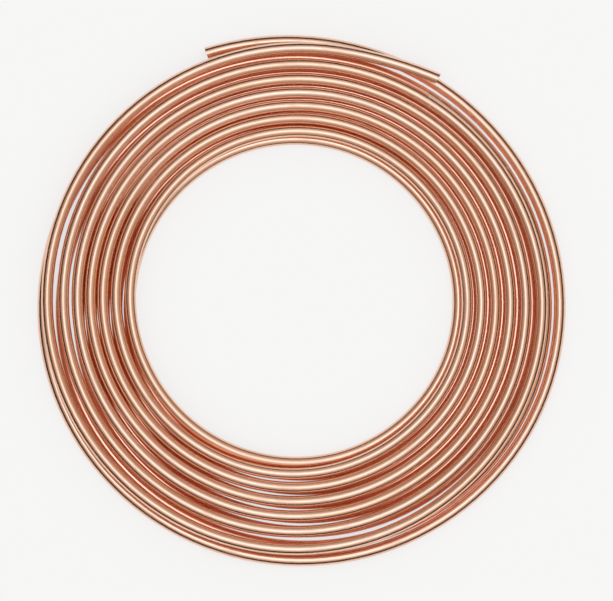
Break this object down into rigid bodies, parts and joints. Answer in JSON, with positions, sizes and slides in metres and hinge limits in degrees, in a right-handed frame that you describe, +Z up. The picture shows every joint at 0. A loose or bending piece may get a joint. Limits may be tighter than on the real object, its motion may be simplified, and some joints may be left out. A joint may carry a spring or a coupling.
{
  "type": "copper tube coil",
  "caption": "Length of soft copper tube wound flat in two layers round an open eye, with both cut ends free on the outside.",
  "frame": {"origin": "on the floor under the middle of the coil's outline", "axes": "+Z up along the winding axis, +Y towards the side where both cut ends lie, +X to the right seen from above with +Y up the page"},
  "size_m": [0.4268, 0.429, 0.0193],
  "materials": {
    "copper": "bright bare drawn copper, lightly handled"
  },
  "bodies": {
    "root": {"copper_tube": "copper"}
  },
  "joints": []
}
